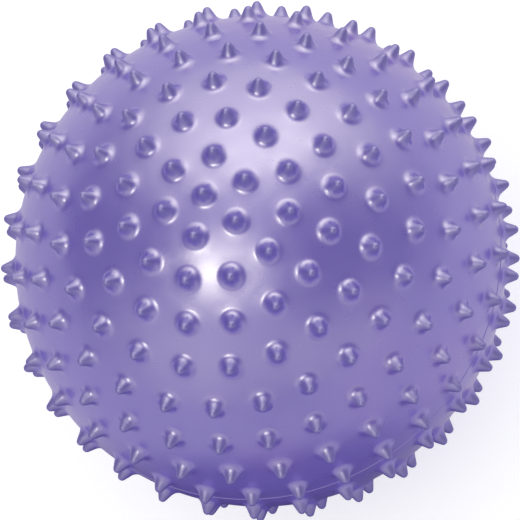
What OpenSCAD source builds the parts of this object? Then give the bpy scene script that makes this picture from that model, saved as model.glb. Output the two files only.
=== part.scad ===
// Soft vinyl sensory ball: a hollow skin covered in rings of nubs, with an air valve.
// The origin is the ball's centre, +Z is the axis of its mould, and the valve is at the bottom.

/* [Ball] */
// Diameter of the ball over the tips of its nubs
ball_d = 180; // [140:1:280]
// Thickness of the hollow skin
skin_t = 1.3; // [1:0.1:3]

/* [Nubs] */
// Height of a nub above the skin
nub_h = 5.2; // [4:0.1:8]
// Width of a nub's cone where it would meet the skin
nub_w = 6.8; // [5:0.1:8]
// Radius of a nub's round tip
tip_r = 1.5; // [0.8:0.05:2]
// Radius of the hollow sweep from a nub's cone down to the skin
sweep_r = 3.4; // [2:0.1:4]

/* [Mould line] */
// Width of the raised line where the two halves of the mould met
line_w = 0.6; // [0.4:0.1:1.5]
// Height of that line above the skin
line_h = 0.15; // [0.1:0.05:0.5]

/* [Valve collar] */
// Bore that the air goes through
bore_d = 5; // [4:0.1:6]
// Width of the collar's face, which shows on the skin
face_d = 12; // [10.5:0.1:14]
// Length of the collar into the ball
collar_l = 9; // [7:0.5:14]
// Wall of the collar's neck round the bore
neck_wall = 1.9; // [1:0.1:2.5]
// Width of the flange that the skin holds
flange_d = 17; // [15:0.1:20]
// Thickness of that flange
flange_t = 1.4; // [1:0.1:2]
// Skin over the flange, inside and outside the ball
cover_t = 1.6; // [1.2:0.1:2.4]
// Skin around the flange's rim
rim_t = 2.2; // [1.5:0.1:3]

/* [Valve plug] */
// Width of the plug's head
head_d = 8; // [7:0.1:9]
// Thickness of the plug's head
head_t = 1.2; // [0.8:0.1:2]
// Length of the plug's stem below its head
stem_l = 11; // [8:0.5:14]
// Number of sealing ribs on the stem
ribs = 3; // [2:1:4]
// Depth of the groove between two ribs
groove = 0.4; // [0.2:0.05:0.6]
// Play between the ribs and the bore, all round
play = 0.06; // [0.02:0.01:0.1]

/* [Hidden] */

// Nubs in each ring, from the pole to the mould line
ring_nubs = [6, 12, 17, 21, 25, 28, 30, 33];
// Turn of each ring's first nub away from the front, in degrees
ring_turn = [0, -1, 1, 0, -5, -4, -2.5, 1];
front = -90;
// Turn of the lower half of the mould against the upper one
half_turn = -13;
rings = len(ring_nubs);
// Rings lie this much closer together at the pole than at the mould line, as a share
ring_crowd = 0.08;
// Angle of a ring from the pole: the mould line lies midway between the last ring of each half
function ring_angle(k) = let (t = k / (rings + 0.5)) 90 * t * (1 - ring_crowd * (1 - t));

skin_r = ball_d / 2 - nub_h;

// A nub's flank leans in to touch the tip's circle
nub_r = nub_w / 2;
tip_z = nub_h - tip_r;
lean = atan(nub_r / tip_z) - asin(tip_r / norm([nub_r, tip_z]));
// The circles of the tip and the sweep cross the flank by this much, so that they blend cleanly
blend = 0.01;
// The sweep's circle also bites a little into the round skin
sweep_bite = 0.12;
sweep_reach = nub_r - sweep_r * tan(lean) + sweep_r / cos(lean);
skin_drop = skin_r - sqrt(skin_r * skin_r - sweep_reach * sweep_reach);
sweep_z = sweep_r - skin_drop - sweep_bite;
sweep_x = nub_r - sweep_z * tan(lean) + sweep_r / cos(lean);
// A nub is rooted this far down in the skin, as a share of its thickness
root_share = 0.6;
root = skin_t * root_share;

bore_r = bore_d / 2;
face_r = face_d / 2;
flange_r = flange_d / 2;
neck_r = bore_r + neck_wall;
boss_r = flange_r + rim_t;
boss_t = flange_t + 2 * cover_t;
boss_drop = skin_r - sqrt(skin_r * skin_r - boss_r * boss_r);
chamfer = 0.8;

// The plug's head has this much room round it, and lies this far below the face
seat_play = 0.15;
seat_sink = 0.1;
seat_r = head_d / 2 + seat_play;
seat_z = head_t + seat_sink;
// Bevel of the head's edge
head_edge = 0.3;

// Places its children on the skin, at an angle from +Z and a turn about it
module on_skin(angle, turn) {
    rotate([0, angle, turn]) translate([0, 0, skin_r]) children();
}

// Places its children at the valve, with their +Z pointing into the ball
module at_valve() {
    translate([0, 0, -skin_r]) children();
}

// Half of a nub's section: cone, round tip and the sweep down to the skin
module nub_section() {
    out = [cos(lean), sin(lean)];
    tip_touch = [0, tip_z] + (tip_r - blend) * out;
    sweep_touch = [sweep_x, sweep_z] - (sweep_r - blend) * out;
    intersection() {
        translate([0, tip_z]) circle(r = tip_r, $fn = 32);
        square([nub_w, 2 * nub_h]);
    }
    difference() {
        polygon([[0, -root], [sweep_x, -root], [sweep_x, sweep_z],
                 sweep_touch, tip_touch, [0, tip_touch[1]]]);
        translate([sweep_x, sweep_z]) circle(r = sweep_r, $fn = 96);
    }
}

module nub() {
    rotate_extrude($fn = 32) nub_section();
}

// The rings of nubs on one half of the ball, towards +Z
module nub_rings() {
    for (k = [1 : rings], i = [0 : ring_nubs[k - 1] - 1])
        on_skin(ring_angle(k), front + ring_turn[k - 1] + i * 360 / ring_nubs[k - 1]) nub();
}

// Outside of the collar, which the skin is moulded round
module collar_outline() {
    polygon([[0, -2 * cover_t], [face_r, -2 * cover_t], [face_r, cover_t], [flange_r, cover_t],
             [flange_r, cover_t + flange_t], [neck_r, cover_t + flange_t],
             [neck_r, collar_l - chamfer], [neck_r - chamfer, collar_l], [0, collar_l]]);
}

// Outside of the thick boss inside the ball, which holds the collar's flange
module boss_outline() {
    polygon([[0, skin_t / 2], [boss_r, skin_t / 2 + boss_drop],
             [boss_r, boss_t - chamfer], [boss_r - chamfer, boss_t], [0, boss_t]]);
}

module shell_section() {
    difference() {
        circle(r = skin_r, $fn = 180);
        circle(r = skin_r - skin_t, $fn = 180);
        translate([-2 * skin_r, -2 * skin_r]) square([2 * skin_r, 4 * skin_r]);
    }
    polygon([[skin_r - skin_t / 2, -line_w / 2], [skin_r, -line_w / 2],
             [skin_r + line_h, -line_w / 4], [skin_r + line_h, line_w / 4],
             [skin_r, line_w / 2], [skin_r - skin_t / 2, line_w / 2]]);
}

// One moulded skin: shell, mould line, nubs and the boss that holds the collar
module ball_skin() {
    color([0.49, 0.43, 0.72])
    union() {
        rotate_extrude($fn = 180)
        difference() {
            union() {
                shell_section();
                translate([0, -skin_r]) boss_outline();
            }
            translate([0, -skin_r]) collar_outline();
        }
        on_skin(0, 0) nub();
        nub_rings();
        mirror([0, 0, 1]) rotate([0, 0, half_turn]) nub_rings();
    }
}

module valve_collar() {
    color([0.56, 0.5, 0.78])
    at_valve() rotate_extrude($fn = 72)
    difference() {
        intersection() {
            collar_outline();
            square([flange_d, collar_l + cover_t]);
        }
        translate([0, -cover_t]) square([seat_r, cover_t + seat_z]);
        square([bore_r, 2 * collar_l]);
    }
}

// The plug's head sits in the collar's seat, and its ribs fill the bore
module valve_plug() {
    rib_r = bore_r - play;
    rib_step = (stem_l - chamfer * 2) / ribs;
    color([0.93, 0.93, 0.95])
    at_valve() translate([0, 0, seat_z]) rotate_extrude($fn = 72) {
        polygon([[0, -head_t], [head_d / 2 - head_edge, -head_t],
                 [head_d / 2, head_edge - head_t], [head_d / 2, 0], [0, 0]]);
        difference() {
            polygon([[0, -head_t / 2], [rib_r, -head_t / 2], [rib_r, stem_l - chamfer * 2],
                     [rib_r - chamfer, stem_l], [0, stem_l]]);
            for (k = [1 : ribs])
                translate([rib_r + groove, (k - 0.5) * rib_step])
                    circle(r = groove * 2, $fn = 32);
        }
    }
}

ball_skin();
valve_collar();
valve_plug();
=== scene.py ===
import math
import random
import bpy
import numpy as np
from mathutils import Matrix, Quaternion, Vector, geometry, kdtree


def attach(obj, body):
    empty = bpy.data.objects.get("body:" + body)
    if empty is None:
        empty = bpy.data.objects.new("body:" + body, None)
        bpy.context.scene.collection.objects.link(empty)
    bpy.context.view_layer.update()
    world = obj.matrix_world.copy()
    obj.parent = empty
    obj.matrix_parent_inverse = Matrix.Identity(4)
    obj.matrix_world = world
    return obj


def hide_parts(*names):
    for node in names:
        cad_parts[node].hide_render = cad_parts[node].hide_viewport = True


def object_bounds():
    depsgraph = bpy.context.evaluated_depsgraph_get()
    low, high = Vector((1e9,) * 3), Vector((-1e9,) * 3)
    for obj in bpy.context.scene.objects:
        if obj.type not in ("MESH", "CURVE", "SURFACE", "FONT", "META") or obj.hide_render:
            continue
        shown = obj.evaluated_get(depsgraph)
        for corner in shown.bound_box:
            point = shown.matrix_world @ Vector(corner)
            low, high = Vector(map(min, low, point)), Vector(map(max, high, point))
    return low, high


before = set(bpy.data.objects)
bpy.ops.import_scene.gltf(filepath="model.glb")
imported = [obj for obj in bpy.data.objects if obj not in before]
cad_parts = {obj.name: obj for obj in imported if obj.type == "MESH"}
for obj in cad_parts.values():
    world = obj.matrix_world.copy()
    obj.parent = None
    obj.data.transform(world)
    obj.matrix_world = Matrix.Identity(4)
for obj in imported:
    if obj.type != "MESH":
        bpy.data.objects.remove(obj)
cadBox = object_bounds()
print("frame loaded:", sorted(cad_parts))


# The view of the photo: nearly down on the nub at the pole, with the picture turned
cameraView = {
    "azimuth": 50.9,
    "elevation": 69.7,
    "roll": -40.1,
    "distance": 3.395,
    "lens": 680.0,
    "ballCentre": (260.7, 261.3),   # pixel that the ball's centre falls on
    "frameSize": 520,
    "farEnd": 100.0,
}


# The way from the ball to a place: azimuth from the front (-Y) and elevation, in degrees
def directionOf(azimuth, elevation):
    a = math.radians(azimuth)
    e = math.radians(elevation)
    return Vector((math.sin(a) * math.cos(e), -math.cos(a) * math.cos(e), math.sin(e)))


def makeCamera(view):
    data = bpy.data.cameras.new("photoCamera")
    data.lens = view["lens"]
    data.clip_end = view["farEnd"]
    half = view["frameSize"] / 2
    data.shift_x = (half - view["ballCentre"][0]) / view["frameSize"]
    data.shift_y = (view["ballCentre"][1] - half) / view["frameSize"]
    camera = bpy.data.objects.new("photoCamera", data)
    bpy.context.scene.collection.objects.link(camera)
    back = directionOf(view["azimuth"], view["elevation"])
    turn = Quaternion((0, 0, 1), math.radians(view["roll"]))
    camera.rotation_mode = "QUATERNION"
    camera.rotation_quaternion = (-back).to_track_quat("-Z", "Y") @ turn
    camera.location = back * view["distance"]
    bpy.context.scene.camera = camera


makeCamera(cameraView)
print("camera placed")


# Helpers for node trees. A value is a number, a colour or place, or what another node gives.
def fill(tree, socket, value):
    if isinstance(value, (int, float)):
        socket.default_value = value
    elif isinstance(value, tuple):
        socket.default_value = (*value, 1.0) if socket.type == "RGBA" else value
    else:
        tree.links.new(value, socket)


# A node with some of its sockets filled, which go by name or by number
def addNode(tree, kind, values=None):
    node = tree.nodes.new("ShaderNode" + kind)
    for name, value in (values or {}).items():
        fill(tree, node.inputs[name], value)
    return node


# Arithmetic on numbers, or on places with kind VectorMath. Either way it gives a number.
def maths(tree, operation, *values, kind="Math"):
    node = addNode(tree, kind)
    node.operation = operation
    for socket, value in zip(node.inputs, values):
        fill(tree, socket, value)
    return node.outputs["Value"]


def mixColours(tree, share, first, second):
    node = addNode(tree, "Mix")
    node.data_type = "RGBA"
    inputs = [socket for socket in node.inputs if socket.enabled]
    for socket, value in zip(inputs, (share, first, second)):
        fill(tree, socket, value)
    return [socket for socket in node.outputs if socket.enabled][0]


# Spreads what lies from start to end over low to high, and holds it beyond
def spread(tree, source, low, high, start=0.0, end=1.0, smooth=False):
    node = addNode(tree, "MapRange")
    node.interpolation_type = "SMOOTHSTEP" if smooth else "LINEAR"
    values = {"Value": source, "From Min": start, "From Max": end, "To Min": low, "To Max": high}
    for name, value in values.items():
        fill(tree, node.inputs[name], value)
    return node.outputs["Result"]


def noiseOn(tree, where, scale, detail):
    node = addNode(tree, "TexNoise", {"Vector": where, "Scale": scale, "Detail": detail})
    return node.outputs["Fac"]


# Soft patches that go from low to high. The noise is its scale, its detail, and the part that is spread.
def patches(tree, where, noise, low, high, smooth=False):
    scale, detail, start, end = noise
    return spread(tree, noiseOn(tree, where, scale, detail), low, high, start, end, smooth)


def newMaterial(name):
    material = bpy.data.materials.new(name)
    material.use_nodes = True
    tree = material.node_tree
    tree.nodes.clear()
    return material, tree


# The shader of a moulded piece, with a fine grain as bump
def addFinish(tree, where, finish, colour, rough, grain):
    grainNoise = noiseOn(tree, where, *finish["grainNoise"])
    bump = addNode(tree, "Bump", {"Strength": finish["bump"], "Distance": grain, "Height": grainNoise})
    shader = addNode(tree, "BsdfPrincipled", {
        "Base Color": colour,
        "Roughness": rough,
        "IOR": finish["ior"],
        "Normal": bump.outputs["Normal"],
    })
    addNode(tree, "OutputMaterial", {"Surface": shader.outputs["BSDF"]})


# A colour written in 0 to 255 as on a screen, turned to the linear values that shaders take
def fromSrgb(colour):
    def linear(level):
        v = level / 255
        return v / 12.92 if v <= 0.04045 else ((v + 0.055) / 1.055) ** 2.4
    return tuple(linear(level) for level in colour)


# The skin: one moulded piece with its nubs, in metres and degrees
ballSkin = {
    "nubHeight": 0.0052,
    "nubWidth": 0.0068,         # of the cone where it would meet the skin
    "tipRadius": 0.0015,
    "sweepRadius": 0.0034,      # hollow between the cone and the skin
    "skinThickness": 0.0013,
    "ringNubs": (6, 12, 17, 21, 25, 28, 30, 33),
    "ringTurn": (0, -1, 1, 0, -5, -4, -2.5, 1),   # the same in both halves of the mould
    "halfTurn": -13,            # of the lower half against the upper one
    "ringCrowd": 0.08,          # how much closer the rings lie at the pole
    "front": -90,               # where the turns start, about +Z
    "lineWidth": 0.0006,
    "lineHeight": 0.00015,
    "lineRows": ((-0.5, 0), (-0.25, 1), (0.25, 1), (0.5, 0)),   # shares of its width and height
    "lineStep": 0.0012,         # between points along the mould line
    "around": 20,               # mesh columns round a nub
    "tipSteps": 3,
    "flankSteps": 2,
    "sweepSteps": 5,
    "settleSteps": 30,          # tries to fit the sweep between the cone and the skin
    "skinPoints": 26000,        # over the whole ball, before those under nubs are dropped
    "keepApart": 0.0014,        # least distance between skin points
    "tipShift": 0.00008,        # how far moulded tips lean out of true, at most
    "leastShift": 0.2,          # least share of it that a tip leans
    "leanCurve": 1.5,           # how late on its way up a nub leans
    "heightSpread": 0.012,      # share of its height that a nub may lack
    "sharpAngle": 38,
    "seed": 7,
}
skinRadius = cadBox[1].z - ballSkin["nubHeight"]

# The hole in the skin for the valve collar, and the boss inside that holds it
valveSeat = {
    "faceRadius": 0.0060,
    "neckRadius": 0.0044,
    "flangeRadius": 0.0085,
    "flangeThickness": 0.0014,
    "cover": 0.0016,
    "rim": 0.0022,
    "chamfer": 0.0008,
    "around": 48,
    "innerSteps": 26,
}
valveAxis = np.array((0.0, 0.0, -1.0))


# Half section of a nub from its tip to its foot: radius, and height above the skin at the axis
def nubProfile(ball):
    coneRadius = ball["nubWidth"] / 2
    tip = ball["tipRadius"]
    tipZ = ball["nubHeight"] - tip
    lean = math.atan2(coneRadius, tipZ) - math.asin(tip / math.hypot(coneRadius, tipZ))
    sweep = ball["sweepRadius"]
    sweepX = coneRadius
    for step in range(ball["settleSteps"]):
        sweepZ = math.sqrt((skinRadius + sweep) ** 2 - sweepX ** 2) - skinRadius
        sweepX = coneRadius + (sweep - math.sin(lean) * sweepZ) / math.cos(lean)

    profile = []
    for i in range(ball["tipSteps"] + 1):
        t = math.pi / 2 + (lean - math.pi / 2) * i / ball["tipSteps"]
        profile.append((tip * math.cos(t), tipZ + tip * math.sin(t)))
    tipEnd = profile[-1]
    sweepTop = (sweepX - sweep * math.cos(lean), sweepZ - sweep * math.sin(lean))
    for i in range(1, ball["flankSteps"] + 1):
        t = i / ball["flankSteps"]
        profile.append(tuple(a + (b - a) * t for a, b in zip(tipEnd, sweepTop)))
    start = math.pi + lean
    end = 1.5 * math.pi - math.atan2(sweepX, sweepZ + skinRadius)
    for i in range(1, ball["sweepSteps"] + 1):
        t = start + (end - start) * i / ball["sweepSteps"]
        profile.append((sweepX + sweep * math.cos(t), sweepZ + sweep * math.sin(t)))
    return np.array(profile)


# Half section of the inside, from the edge of the hole to the top of the hollow
def insideProfile(ball, seat):
    inner = skinRadius - ball["skinThickness"]
    bossRadius = seat["flangeRadius"] + seat["rim"]
    flangeZ = seat["cover"] - skinRadius
    flangeTop = flangeZ + seat["flangeThickness"]
    bossTop = flangeTop + seat["cover"]
    profile = [
        (seat["faceRadius"], flangeZ),
        (seat["flangeRadius"], flangeZ),
        (seat["flangeRadius"], flangeTop),
        (seat["neckRadius"], flangeTop),
        (seat["neckRadius"], bossTop),
        (bossRadius - seat["chamfer"], bossTop),
        (bossRadius, bossTop - seat["chamfer"]),
    ]
    start = math.asin(bossRadius / inner)
    for i in range(seat["innerSteps"]):
        t = start + (math.pi - start) * i / seat["innerSteps"]
        profile.append((inner * math.sin(t), -inner * math.cos(t)))
    return profile


# Where the nubs stand: one at the pole, then ring after ring, first in the upper half
def nubDirections(ball):
    found = [(0.0, 0.0, 1.0)]
    rings = len(ball["ringNubs"])
    for half in (1, -1):
        for ring, count in enumerate(ball["ringNubs"], 1):
            share = ring / (rings + 0.5)
            fromPole = math.pi / 2 * share * (1 - ball["ringCrowd"] * (1 - share))
            turn = ball["front"] + ball["ringTurn"][ring - 1] + (ball["halfTurn"] if half < 0 else 0)
            for i in range(count):
                a = math.radians(turn + i * 360 / count)
                s = math.sin(fromPole)
                found.append((s * math.cos(a), s * math.sin(a), half * math.cos(fromPole)))
    return np.array(found)


# Two ways square to an axis, and the ways outwards from it all round
def spokes(axis, count):
    side = np.array(Vector(axis).orthogonal().normalized())
    other = np.cross(axis, side)
    t = np.arange(count) * 2 * math.pi / count
    outward = np.outer(np.cos(t), side) + np.outer(np.sin(t), other)
    return side, other, outward


# Points round an axis, on a ball of radius 1
def circleAbout(axis, angle, count):
    outward = spokes(axis, count)[2]
    return math.cos(angle) * axis + math.sin(angle) * outward


# Rows of points along the mould line, on a ball of radius 1, and how far each is lifted above the skin
def mouldLine(ball):
    count = int(2 * math.pi * skinRadius / ball["lineStep"])
    t = np.arange(count) * (2 * math.pi / count)
    rows = []
    lifts = []
    for across, up in ball["lineRows"]:
        z = across * ball["lineWidth"] / skinRadius
        r = math.sqrt(1 - z * z)
        rows.append(np.stack([r * np.cos(t), r * np.sin(t), np.full(count, z)], axis=1))
        lifts += [up * ball["lineHeight"]] * count
    return rows, lifts


# Evenly spread points all over a ball of radius 1
def fibonacciSphere(count):
    i = np.arange(count) + 0.5
    z = 1 - 2 * i / count
    a = i * math.pi * (3 - math.sqrt(5))
    r = np.sqrt(1 - z * z)
    return np.stack([r * np.cos(a), r * np.sin(a), z], axis=1)


def searchTree(points):
    tree = kdtree.KDTree(len(points))
    for i, point in enumerate(points):
        tree.insert(point * skinRadius, i)
    tree.balance()
    return tree


# Points that fill the skin between the fixed ones, clear of them, of the nubs and of the hole
def loosePoints(ball, axes, fixed, footAngle, holeAngle):
    placed = searchTree(fixed)
    nubs = searchTree(axes)
    hole = Vector(valveAxis * skinRadius)
    footReach = 2 * skinRadius * math.sin(footAngle / 2)
    holeReach = 2 * skinRadius * math.sin(holeAngle / 2)
    loose = []
    for point in fibonacciSphere(ball["skinPoints"]):
        at = Vector(point * skinRadius)
        underNub = nubs.find(at)[2] < footReach
        inHole = (at - hole).length < holeReach
        if not (underNub or inHole or placed.find(at)[2] < ball["keepApart"]):
            loose.append(point)
    return np.array(loose)


# Triangles between points on a sphere. Seen from the pole the sphere unrolls to a plane, where the
# best triangles are the same ones, so the flat triangulation serves.
def triangulateSphere(points):
    flat = points[:, :2] / (1 - points[:, 2:3])
    flatPoints = [Vector(point) for point in flat.tolist()]
    tolerance = 1e-12
    faces, sources = geometry.delaunay_2d_cdt(flatPoints, [], [], 0, tolerance, True)[2:4]
    source = np.array([ids[0] if ids else -1 for ids in sources])
    return source[np.array(faces)]


# The skin's triangles, all facing outwards. Those with all their corners on the edge of one disc, a
# nub's foot or the hole, are left out.
def skinTriangles(points, discs):
    triangles = triangulateSphere(points)
    own = discs[triangles]
    inDisc = (own[:, 0] >= 0) & (own[:, 0] == own[:, 1]) & (own[:, 1] == own[:, 2])
    triangles = triangles[~inDisc]
    corners = points[triangles]
    normals = np.cross(corners[:, 1] - corners[:, 0], corners[:, 2] - corners[:, 0])
    inward = np.einsum("ij,ij->i", normals, corners.sum(axis=1)) < 0
    triangles[inward] = triangles[inward][:, ::-1]
    return triangles.tolist()


# A nub's rings above its foot, and its tip, which leans a little out of true
def nubRings(ball, axis, profile, draw):
    side, other, outward = spokes(axis, ball["around"])
    leanTo = draw.uniform(0, 2 * math.pi)
    shift = ball["tipShift"] * draw.uniform(ball["leastShift"], 1)
    leanBy = shift * (math.cos(leanTo) * side + math.sin(leanTo) * other)
    stretch = 1 + ball["heightSpread"] * draw.uniform(-1, 0)
    rings = []
    for radius, z in profile[-2:0:-1]:
        share = max(z, 0) / ball["nubHeight"]
        height = z * (1 + (stretch - 1) * share)
        lean = leanBy * share ** ball["leanCurve"]
        rings.append(axis * (skinRadius + height) + outward * radius + lean)
    return rings, axis * (skinRadius + ball["nubHeight"] * stretch) + leanBy


# Rings from the edge of the hole round the boss and up the hollow, and the point at its top
def insideRings(ball, seat, hole):
    outward = hole[:, :2] / np.linalg.norm(hole[:, :2], axis=1, keepdims=True)
    rings = []
    for radius, z in insideProfile(ball, seat):
        rings.append(np.column_stack([outward * radius, np.full(len(hole), z)]))
    return rings, np.array((0, 0, skinRadius - ball["skinThickness"]))


# Adds rings of points on a ring that the mesh has already, and closes them with one last point
def stackRings(vertices, faces, below, rings, last):
    for ring in rings:
        above = list(range(len(vertices), len(vertices) + len(ring)))
        vertices.extend(ring)
        faces.extend(zip(below, below[1:] + below[:1], above[1:] + above[:1], above))
        below = above
    faces.extend((a, b, len(vertices)) for a, b in zip(below, below[1:] + below[:1]))
    vertices.append(last)


def buildSkinMesh(ball, seat):
    axes = nubDirections(ball)
    profile = nubProfile(ball)
    footRadius, footZ = profile[-1]
    footAngle = math.atan2(footRadius, footZ + skinRadius)
    holeAngle = math.asin(seat["faceRadius"] / skinRadius)
    around = ball["around"]

    # Points on a ball of radius 1: first the edges of the discs, which are the nubs' feet and the hole,
    # then the mould line, then the loose ones
    hole = circleAbout(valveAxis, holeAngle, seat["around"])
    edges = [circleAbout(axis, footAngle, around) for axis in axes] + [hole]
    edgeSizes = [len(edge) for edge in edges]
    lineRows, lineLifts = mouldLine(ball)
    fixed = np.concatenate(edges + lineRows)
    points = np.concatenate([fixed, loosePoints(ball, axes, fixed, footAngle, holeAngle)])
    discs = np.full(len(points), -1)
    discs[:sum(edgeSizes)] = np.repeat(np.arange(len(edges)), edgeSizes)
    lifts = np.zeros(len(points))
    lifts[sum(edgeSizes):len(fixed)] = lineLifts

    vertices = list(points * (skinRadius + lifts)[:, None])
    faces = skinTriangles(points, discs)
    draw = random.Random(ball["seed"])
    for n, axis in enumerate(axes):
        foot = list(range(n * around, (n + 1) * around))
        stackRings(vertices, faces, foot, *nubRings(ball, axis, profile, draw))
    holeEdge = list(range(len(axes) * around, sum(edgeSizes)))
    stackRings(vertices, faces, holeEdge, *insideRings(ball, seat, hole))

    mesh = bpy.data.meshes.new("moulded_skin")
    mesh.from_pydata(np.array(vertices).tolist(), [], faces)
    mesh.validate()
    mesh.shade_smooth()
    mesh.set_sharp_from_angle(angle=math.radians(ball["sharpAngle"]))
    return mesh


# Soft glossy vinyl: an even, slightly cloudy purple under a satin gloss, with deeper purple nubs that are
# partly thicker vinyl and partly painted shade.
# Each noise is its scale, its detail and, where there are four numbers, the part that is spread.
purpleVinyl = {
    "colour": (103, 85, 180),
    "cloudColour": (107, 90, 183),
    "cloudNoise": (30, 3, 0.35, 0.7),
    "pinkColour": (113, 87, 180),
    "pinkNoise": (14, 2, 0.55, 0.75),
    # The nubs' deeper purple: partly thicker vinyl, partly painted shade for their less lit flanks
    "nubDeepAndShadedColour": (80, 64, 164),
    "nubFrom": 0.0006,          # height above the skin where a nub's darker colour, partly thicker vinyl and partly painted shade, begins
    "nubTo": 0.0036,
    "rough": 0.29,
    "nubRough": 0.50,
    "roughSpread": 0.02,
    "roughNoise": (160, 3, 0.3, 0.7),
    "ior": 2.3,
    "bump": 0.3,
    "grain": 0.00004,
    "nubGrain": 0.00012,
    "grainNoise": (700, 2),
}


def makePurpleVinyl(vinyl):
    material, tree = newMaterial("purpleVinyl")
    where = addNode(tree, "TexCoord").outputs["Object"]
    fromCentre = maths(tree, "LENGTH", where, kind="VectorMath")
    height = maths(tree, "SUBTRACT", fromCentre, skinRadius)
    onNub = spread(tree, height, 0, 1, vinyl["nubFrom"], vinyl["nubTo"], smooth=True)

    cloudy = patches(tree, where, vinyl["cloudNoise"], 0, 1)
    pink = patches(tree, where, vinyl["pinkNoise"], 0, 1, smooth=True)
    colour = mixColours(tree, cloudy, fromSrgb(vinyl["colour"]), fromSrgb(vinyl["cloudColour"]))
    colour = mixColours(tree, pink, colour, fromSrgb(vinyl["pinkColour"]))
    # The nubs turn deeper purple: partly the thicker vinyl there, partly painted shade for their less lit
    # flanks
    colour = mixColours(tree, onNub, colour, fromSrgb(vinyl["nubDeepAndShadedColour"]))

    mottled = patches(tree, where, vinyl["roughNoise"], -vinyl["roughSpread"], vinyl["roughSpread"])
    rough = maths(tree, "ADD", spread(tree, onNub, vinyl["rough"], vinyl["nubRough"]), mottled)
    grain = spread(tree, onNub, vinyl["grain"], vinyl["nubGrain"])
    addFinish(tree, where, vinyl, colour, rough, grain)
    return material


skin = bpy.data.objects.new("moulded_skin", buildSkinMesh(ballSkin, valveSeat))
bpy.context.scene.collection.objects.link(skin)
skin.data.materials.append(makePurpleVinyl(purpleVinyl))
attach(skin, "ball")
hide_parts("ball_skin")
print("skin made:", len(skin.data.polygons), "faces")


# The valve's soft collar and its stopper keep their own solids
collarVinyl = {
    "colour": (140, 126, 196),
    "darker": 0.86,             # share of the colour that the dark patches keep
    "patchShare": 0.5,          # how far towards it they go
    "patchNoise": (400, 3, 0.3, 0.7),
    "rough": 0.45,
    "roughSpread": 0.06,
    "roughNoise": (900, 2, 0, 1),
    "ior": 1.5,
    "bump": 0.2,
    "grain": 0.00005,
    "grainNoise": (1500, 2),
}
stopperPlastic = {
    "colour": (236, 236, 240),
    "darker": 0.93,
    "patchShare": 0.6,
    "patchNoise": (300, 3, 0.35, 0.75),
    "rough": 0.38,
    "roughSpread": 0.06,
    "roughNoise": (800, 2, 0, 1),
    "ior": 1.5,
    "bump": 0.15,
    "grain": 0.00004,
    "grainNoise": (2200, 2),
}


# One plain colour with darker patches, uneven gloss and a fine grain
def makePlainFinish(name, finish):
    material, tree = newMaterial(name)
    where = addNode(tree, "TexCoord").outputs["Object"]
    base = fromSrgb(finish["colour"])
    dark = tuple(level * finish["darker"] for level in base)
    patchy = patches(tree, where, finish["patchNoise"], 0, finish["patchShare"])
    colour = mixColours(tree, patchy, base, dark)
    smoothest = finish["rough"] - finish["roughSpread"]
    roughest = finish["rough"] + finish["roughSpread"]
    rough = patches(tree, where, finish["roughNoise"], smoothest, roughest)
    addFinish(tree, where, finish, colour, rough, finish["grain"])
    return material


def refinish(node, material):
    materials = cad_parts[node].data.materials
    materials.clear()
    materials.append(material)


refinish("valve_collar", makePlainFinish("collarVinyl", collarVinyl))
refinish("valve_plug", makePlainFinish("stopperPlastic", stopperPlastic))
print("valve finished")


# A plain pale floor that the ball stands on, seen white, which keeps the ball's shadow.
# In the ball's gloss it is paler away from the ball and darker on the side of the shade.
# A shade is a place on the floor, its inner and outer reach, and the floor's strength inside.
paleFloor = {
    "size": 60.0,
    "colour": (0.80, 0.80, 0.80),
    "lift": 0.40,               # added where it is seen, and to the light it gives the ball
    "liftShade": ((0.05, -0.30), 0.15, 0.55, 0.3),
    "mirrored": 0.76,
    "mirroredColour": (1.0, 0.94, 1.0),
    "shades": (
        ((-0.01, -0.09), 0.02, 0.10, 0.0),
        ((0.04, -0.18), 0.06, 0.19, 0.0),
        ((0.95, 0.42), 0.15, 0.65, 0.3),
        ((0.0, 1.1), 0.80, 1.30, 1.35),
    ),
}


def floorShade(tree, where, place, inner, outer, strength):
    away = maths(tree, "DISTANCE", where, (*place, cadBox[0].z), kind="VectorMath")
    return spread(tree, away, strength, 1, inner, outer, smooth=True)


def makeFloorMaterial(floor):
    material, tree = newMaterial("paleFloor")
    ray = addNode(tree, "LightPath").outputs
    surface = addNode(tree, "NewGeometry").outputs
    where = surface["Position"]

    # What the eye and the paint see: a diffuse floor with some light of its own
    onBall = maths(tree, "MULTIPLY", floorShade(tree, where, *floor["liftShade"]), ray["Is Diffuse Ray"])
    lifted = maths(tree, "ADD", ray["Is Camera Ray"], onBall)
    paint = addNode(tree, "BsdfDiffuse", {"Color": floor["colour"]})
    lift = addNode(tree, "Emission", {"Strength": maths(tree, "MULTIPLY", lifted, floor["lift"])})
    seen = addNode(tree, "AddShader", {0: paint.outputs[0], 1: lift.outputs[0]})

    # What the gloss sees
    mirrored = floor["mirrored"]
    for shade in floor["shades"]:
        mirrored = maths(tree, "MULTIPLY", floorShade(tree, where, *shade), mirrored)
    mirror = addNode(tree, "Emission", {"Color": floor["mirroredColour"], "Strength": mirrored})

    # From below the floor is clear
    clear = addNode(tree, "BsdfTransparent")
    above = addNode(tree, "MixShader", {0: ray["Is Glossy Ray"], 1: seen.outputs[0], 2: mirror.outputs[0]})
    whole = addNode(tree, "MixShader", {0: surface["Backfacing"], 1: above.outputs[0], 2: clear.outputs[0]})
    addNode(tree, "OutputMaterial", {"Surface": whole.outputs[0]})
    return material


def makeFloor(settings):
    s = settings["size"] / 2
    z = cadBox[0].z
    mesh = bpy.data.meshes.new("floor")
    mesh.from_pydata([(-s, -s, z), (s, -s, z), (s, s, z), (-s, s, z)], [], [(0, 1, 2, 3)])
    mesh.materials.append(makeFloorMaterial(settings))
    floor = bpy.data.objects.new("floor", mesh)
    bpy.context.scene.collection.objects.link(floor)


makeFloor(paleFloor)
print("floor made")


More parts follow.
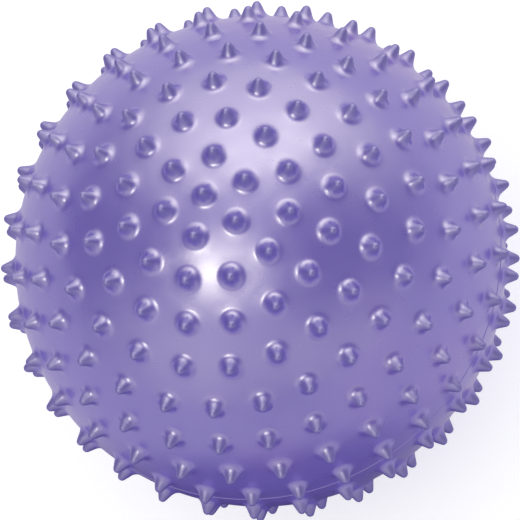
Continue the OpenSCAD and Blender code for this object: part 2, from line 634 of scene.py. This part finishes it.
# The room: even light for the paint, and white where it is seen. The gloss mirrors a dark room with
# soft lights. A light is its azimuth from the front, its elevation, its width in degrees where it
# falls to half its strength, and its strength.
roomLight = {
    "lighting": 1.0,
    "seen": 1.0,                # at the level of the horizon
    "seenAbove": 0.72,          # overhead, where the ball is seen from below
    "seenFade": (0.1, 0.5),     # heights between which one turns to the other
    "mirrored": 0.0,            # between the lights
    "glossColour": (1.0, 0.97, 0.76),
    "lights": {
        "backRight": (163, 43, 12, 3.24),
        "backLeft": (-162, 58, 12, 3.24),
        "back": (-177, 43, 18, 1.51),
        "farRight": (154, 16, 20, 1.3),
        "farLeft": (-141, 32, 20, 1.51),
        "highLeft": (-126, 52, 14, 1.19),
        "highBack": (156, 67, 10, 1.46),
        "behind": (-172, 0, 30, 2.0),
        "overhead": (3, 73, 14, 5.1),
        "frontHigh": (-2, 27, 20, 1.08),
        "frontLeft": (-32, 12, 26, 0.75),
        "leftHigh": (-34, 33, 18, 0.32),
        "frontRight": (35, 26, 16, 0.80),
        "rightLow": (53, 12, 20, 0.49),
        "right": (70, -5, 20, 0.86),
        "rightBack": (135, 28, 18, 0.32),
    },
}


# A light's strength falls away from its direction as a bell curve
def softLight(tree, where, azimuth, elevation, width, strength):
    toLight = tuple(directionOf(azimuth, elevation))
    nearness = maths(tree, "DOT_PRODUCT", where, toLight, kind="VectorMath")
    steepness = math.log(2) / (1 - math.cos(math.radians(width)))
    fall = maths(tree, "MULTIPLY", maths(tree, "SUBTRACT", nearness, 1), steepness)
    return maths(tree, "MULTIPLY", maths(tree, "POWER", math.e, fall), strength)


def makeRoom(room):
    world = bpy.data.worlds.new("room")
    bpy.context.scene.world = world
    world.use_nodes = True
    tree = world.node_tree
    tree.nodes.clear()
    ray = addNode(tree, "LightPath").outputs
    where = addNode(tree, "TexCoord").outputs["Generated"]

    mirrored = room["mirrored"]
    for light in room["lights"].values():
        mirrored = maths(tree, "ADD", softLight(tree, where, *light), mirrored)
    height = addNode(tree, "SeparateXYZ", {"Vector": where}).outputs["Z"]
    seen = spread(tree, height, room["seen"], room["seenAbove"], *room["seenFade"], smooth=True)

    # The even light, changed by what a ray that sees or mirrors the room finds in its place
    moreInGloss = maths(tree, "SUBTRACT", mirrored, room["lighting"])
    moreInView = maths(tree, "SUBTRACT", seen, room["lighting"])
    inGloss = maths(tree, "MULTIPLY", moreInGloss, ray["Is Glossy Ray"])
    inView = maths(tree, "MULTIPLY", moreInView, ray["Is Camera Ray"])
    strength = maths(tree, "ADD", maths(tree, "ADD", inView, inGloss), room["lighting"])
    colour = mixColours(tree, ray["Is Glossy Ray"], (1, 1, 1), room["glossColour"])
    background = addNode(tree, "Background", {"Color": colour, "Strength": strength})
    addNode(tree, "OutputWorld", {"Surface": background.outputs[0]})


makeRoom(roomLight)

# One small lamp for the gloss, which faces the ball
hotLamp = {
    "azimuth": -21,
    "elevation": 66,
    "distance": 1.6,
    "size": 0.42,
    "power": 3.8,
}


def makeHotLamp(settings):
    data = bpy.data.lights.new("hotLamp", "AREA")
    data.shape = "DISK"
    data.size = settings["size"]
    data.energy = settings["power"]
    data.color = roomLight["glossColour"]
    lamp = bpy.data.objects.new("hotLamp", data)
    bpy.context.scene.collection.objects.link(lamp)
    toLamp = directionOf(settings["azimuth"], settings["elevation"])
    lamp.location = toLamp * settings["distance"]
    lamp.rotation_mode = "QUATERNION"
    lamp.rotation_quaternion = toLamp.to_track_quat("Z", "Y")
    lamp.visible_camera = False
    lamp.visible_diffuse = False


makeHotLamp(hotLamp)
bpy.context.scene.view_settings.view_transform = "Standard"
print("room and lamp made")
